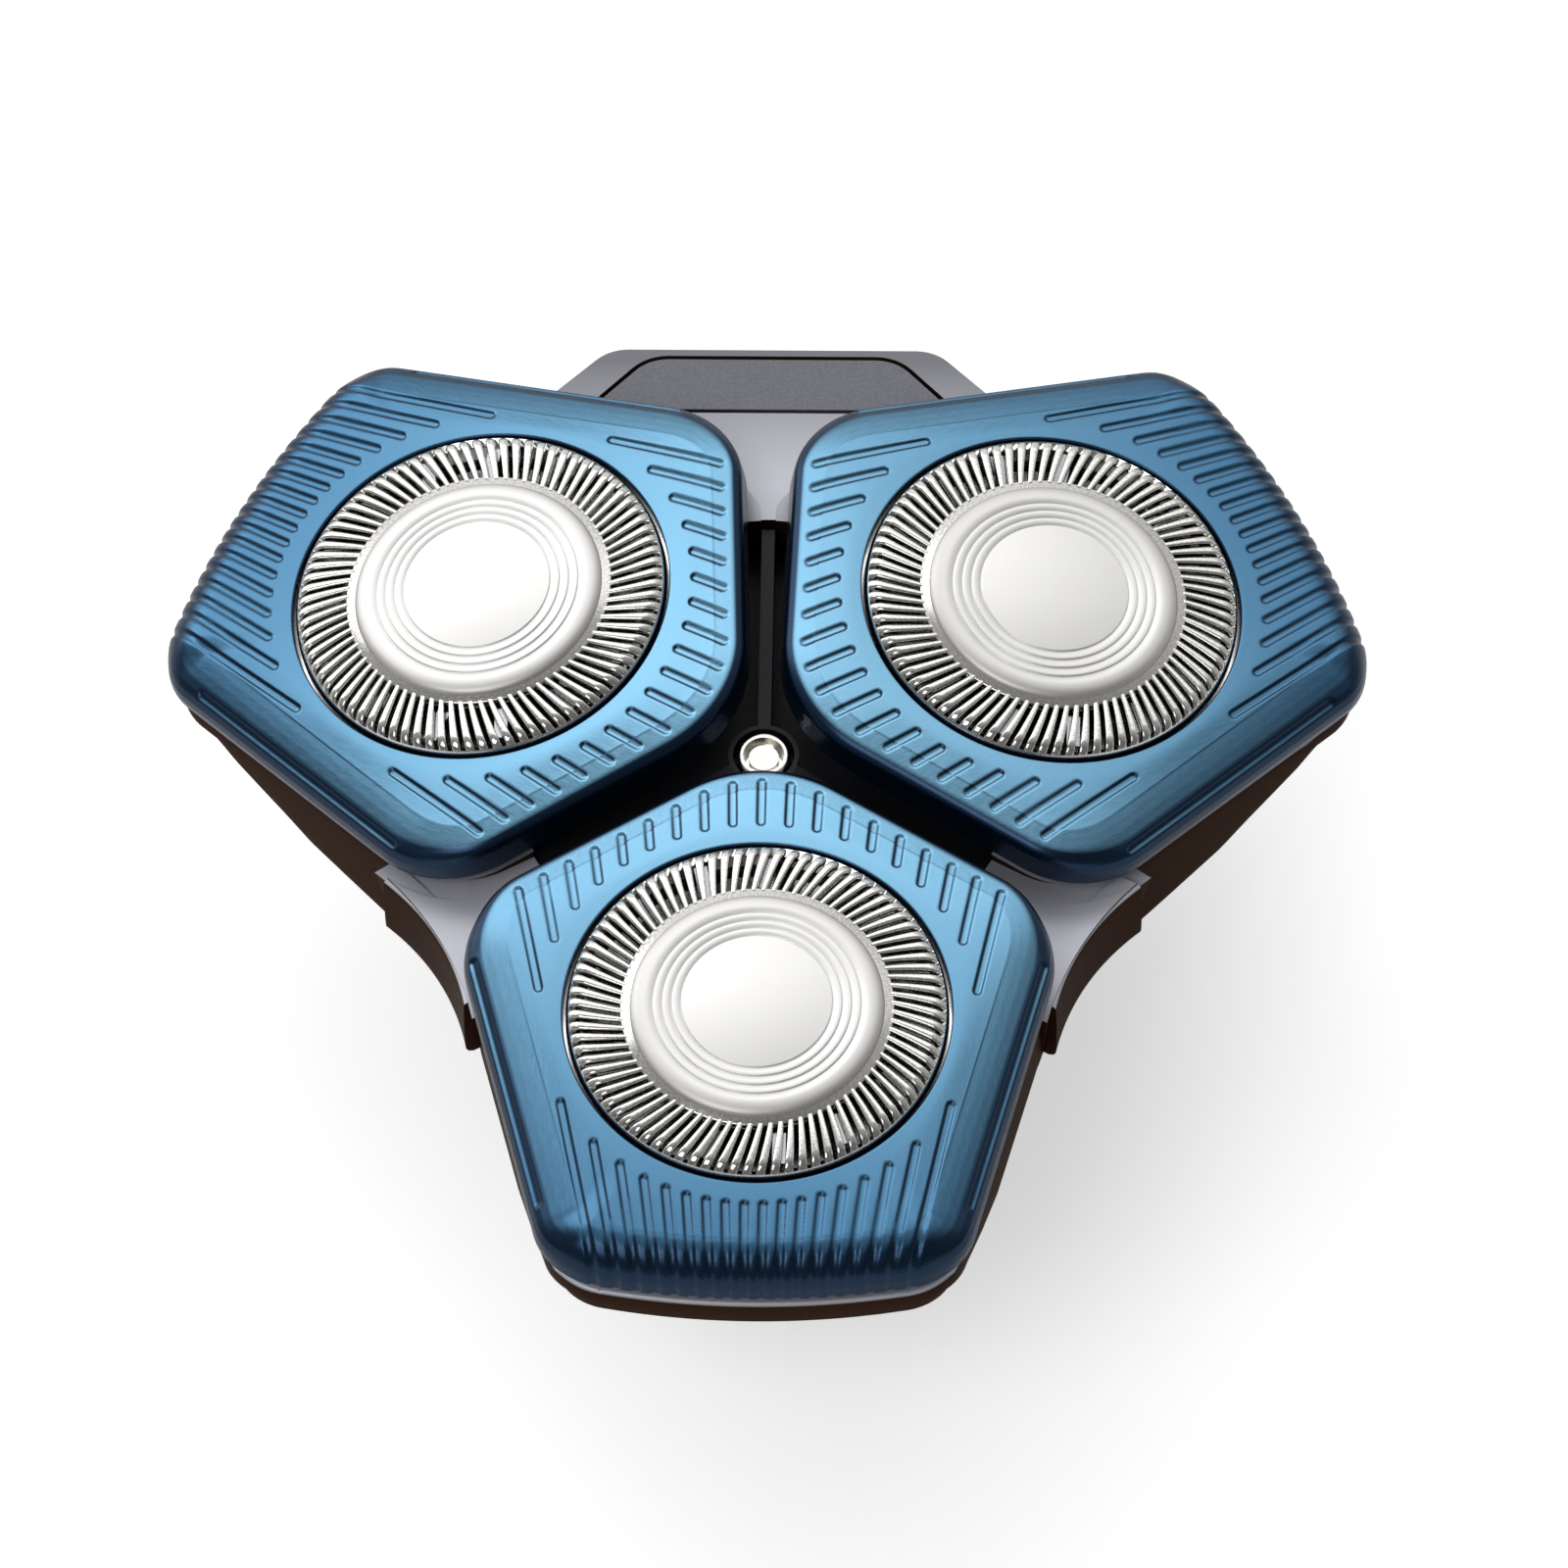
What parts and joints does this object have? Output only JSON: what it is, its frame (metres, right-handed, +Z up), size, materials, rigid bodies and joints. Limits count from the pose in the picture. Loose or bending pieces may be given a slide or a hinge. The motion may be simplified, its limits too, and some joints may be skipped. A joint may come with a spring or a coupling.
{
  "type": "rotary shaver head",
  "caption": "Rotary shaver head with floating capped cutters on gimbals, a gear drive, a pull-off cutter holder and a round click-on neck.",
  "frame": {"origin": "on the drive axis at the bottom rim of the neck", "axes": "+Z up along the drive axis, out of the shaving face; +Y towards the chin with the release button; -Y towards the single front head"},
  "size_m": [0.065, 0.0604, 0.0263],
  "materials": {
    "cap_blue": "satin metallic lacquer",
    "comb_steel": "bright polished steel",
    "trim_chrome": "bright satin chrome",
    "blade_steel": "ground steel",
    "frame_silver": "satin silver lacquer",
    "deck_black": "satin",
    "inner_plastic": "matte",
    "gear_plastic": "natural",
    "shell_grey": "satin",
    "screw_steel": "bright zinc",
    "spring_steel": "drawn wire",
    "seal_rubber": "matte"
  },
  "bodies": {
    "shell": {"lower_shell": "shell_grey", "gear_cover": "inner_plastic", "cover_screws": "screw_steel", "coupling_seal": "seal_rubber"},
    "coupling": {"drive_coupling": "gear_plastic", "centre_gear": "gear_plastic"},
    "holder": {"holder_frame": "frame_silver", "centre_deck": "deck_black", "centre_screw": "screw_steel", "support_plate": "inner_plastic", "support_screws": "screw_steel", "button_springs": "spring_steel"},
    "button": {"release_button": "frame_silver"},
    "front_gear": {"front_driven_gear": "gear_plastic", "front_spindle_spring": "spring_steel"},
    "front_spindle": {"front_spindle": "screw_steel"},
    "front_gimbal": {"front_gimbal_ring": "inner_plastic"},
    "front_head": {"front_cap": "cap_blue", "front_comb": "comb_steel", "front_trim_disc": "trim_chrome", "front_retainer": "inner_plastic"},
    "front_cutter": {"front_cutter": "blade_steel", "front_cutter_hub": "inner_plastic"},
    "left_gear": {"left_driven_gear": "gear_plastic", "left_spindle_spring": "spring_steel"},
    "left_spindle": {"left_spindle": "screw_steel"},
    "left_gimbal": {"left_gimbal_ring": "inner_plastic"},
    "left_head": {"left_cap": "cap_blue", "left_comb": "comb_steel", "left_trim_disc": "trim_chrome", "left_retainer": "inner_plastic"},
    "left_cutter": {"left_cutter": "blade_steel", "left_cutter_hub": "inner_plastic"},
    "right_gear": {"right_driven_gear": "gear_plastic", "right_spindle_spring": "spring_steel"},
    "right_spindle": {"right_spindle": "screw_steel"},
    "right_gimbal": {"right_gimbal_ring": "inner_plastic"},
    "right_head": {"right_cap": "cap_blue", "right_comb": "comb_steel", "right_trim_disc": "trim_chrome", "right_retainer": "inner_plastic"},
    "right_cutter": {"right_cutter": "blade_steel", "right_cutter_hub": "inner_plastic"}
  },
  "joints": [
    {"name": "drive_spin", "type": "hinge", "parent": "shell", "child": "coupling", "pos_m": [0, 0, 0.0012], "axis": [0, 0, 1], "continuous": true},
    {"name": "holder_lift", "type": "slide", "parent": "shell", "child": "holder", "axis": [0, 0, 1], "range_m": [0, 0.03]},
    {"name": "button_press", "type": "slide", "parent": "holder", "child": "button", "axis": [0, 0, -1], "range_m": [0, 0.0006], "stiffness_N_per_m": 250, "springref_m": -0.0003, "deforming": ["button_springs"]},
    {"name": "front_gear_spin", "type": "hinge", "parent": "shell", "child": "front_gear", "pos_m": [0, -0.01725, 0.0115], "axis": [0, 0, 1], "continuous": true},
    {"name": "front_spindle_sink", "type": "slide", "parent": "front_gear", "child": "front_spindle", "axis": [0, 0, 1], "range_m": [-0.0008, 0], "stiffness_N_per_m": 100, "springref_m": 0.0005, "deforming": ["front_spindle_spring"]},
    {"name": "front_gimbal_tilt", "type": "hinge", "parent": "holder", "child": "front_gimbal", "pos_m": [0, -0.01743, 0.01847], "axis": [1, 0, 0], "range_deg": [-3, 3], "stiffness_Nm_per_rad": 0.01},
    {"name": "front_head_roll", "type": "hinge", "parent": "front_gimbal", "child": "front_head", "pos_m": [0, -0.01743, 0.01847], "axis": [0, -0.9988, -0.0495], "range_deg": [-3, 3], "stiffness_Nm_per_rad": 0.01},
    {"name": "front_cutter_spin", "type": "hinge", "parent": "front_head", "child": "front_cutter", "pos_m": [0, -0.01743, 0.01847], "axis": [0, -0.0495, 0.9988], "continuous": true},
    {"name": "left_gear_spin", "type": "hinge", "parent": "shell", "child": "left_gear", "pos_m": [-0.01465, 0.00911, 0.0115], "axis": [0, 0, 1], "continuous": true},
    {"name": "left_spindle_sink", "type": "slide", "parent": "left_gear", "child": "left_spindle", "axis": [0, 0, 1], "range_m": [-0.0008, 0], "stiffness_N_per_m": 100, "springref_m": 0.0005, "deforming": ["left_spindle_spring"]},
    {"name": "left_gimbal_tilt", "type": "hinge", "parent": "holder", "child": "left_gimbal", "pos_m": [-0.01443, 0.00898, 0.01841], "axis": [-0.487, -0.8681, -0.0956], "range_deg": [-3, 3], "stiffness_Nm_per_rad": 0.01},
    {"name": "left_head_roll", "type": "hinge", "parent": "left_gimbal", "child": "left_head", "pos_m": [-0.01443, 0.00898, 0.01841], "axis": [-0.859, 0.4959, -0.1274], "range_deg": [-3, 3], "stiffness_Nm_per_rad": 0.01},
    {"name": "left_cutter_spin", "type": "hinge", "parent": "left_head", "child": "left_cutter", "pos_m": [-0.01443, 0.00898, 0.01841], "axis": [-0.158, -0.02, 0.9872], "continuous": true},
    {"name": "right_gear_spin", "type": "hinge", "parent": "shell", "child": "right_gear", "pos_m": [0.01465, 0.00911, 0.0115], "axis": [0, 0, 1], "continuous": true},
    {"name": "right_spindle_sink", "type": "slide", "parent": "right_gear", "child": "right_spindle", "axis": [0, 0, 1], "range_m": [-0.0008, 0], "stiffness_N_per_m": 100, "springref_m": 0.0005, "deforming": ["right_spindle_spring"]},
    {"name": "right_gimbal_tilt", "type": "hinge", "parent": "holder", "child": "right_gimbal", "pos_m": [0.01443, 0.00898, 0.01841], "axis": [-0.487, 0.8681, 0.0956], "range_deg": [-3, 3], "stiffness_Nm_per_rad": 0.01},
    {"name": "right_head_roll", "type": "hinge", "parent": "right_gimbal", "child": "right_head", "pos_m": [0.01443, 0.00898, 0.01841], "axis": [0.859, 0.4959, -0.1274], "range_deg": [-3, 3], "stiffness_Nm_per_rad": 0.01},
    {"name": "right_cutter_spin", "type": "hinge", "parent": "right_head", "child": "right_cutter", "pos_m": [0.01443, 0.00898, 0.01841], "axis": [0.158, -0.02, 0.9872], "continuous": true}
  ],
  "couplings": [
    {"joint": "front_gear_spin", "follows": "drive_spin", "ratio": -1.4643},
    {"joint": "front_cutter_spin", "follows": "drive_spin", "ratio": -1.4643},
    {"joint": "left_gear_spin", "follows": "drive_spin", "ratio": -1.4643},
    {"joint": "left_cutter_spin", "follows": "drive_spin", "ratio": -1.4643},
    {"joint": "right_gear_spin", "follows": "drive_spin", "ratio": -1.4643},
    {"joint": "right_cutter_spin", "follows": "drive_spin", "ratio": -1.4643}
  ]
}
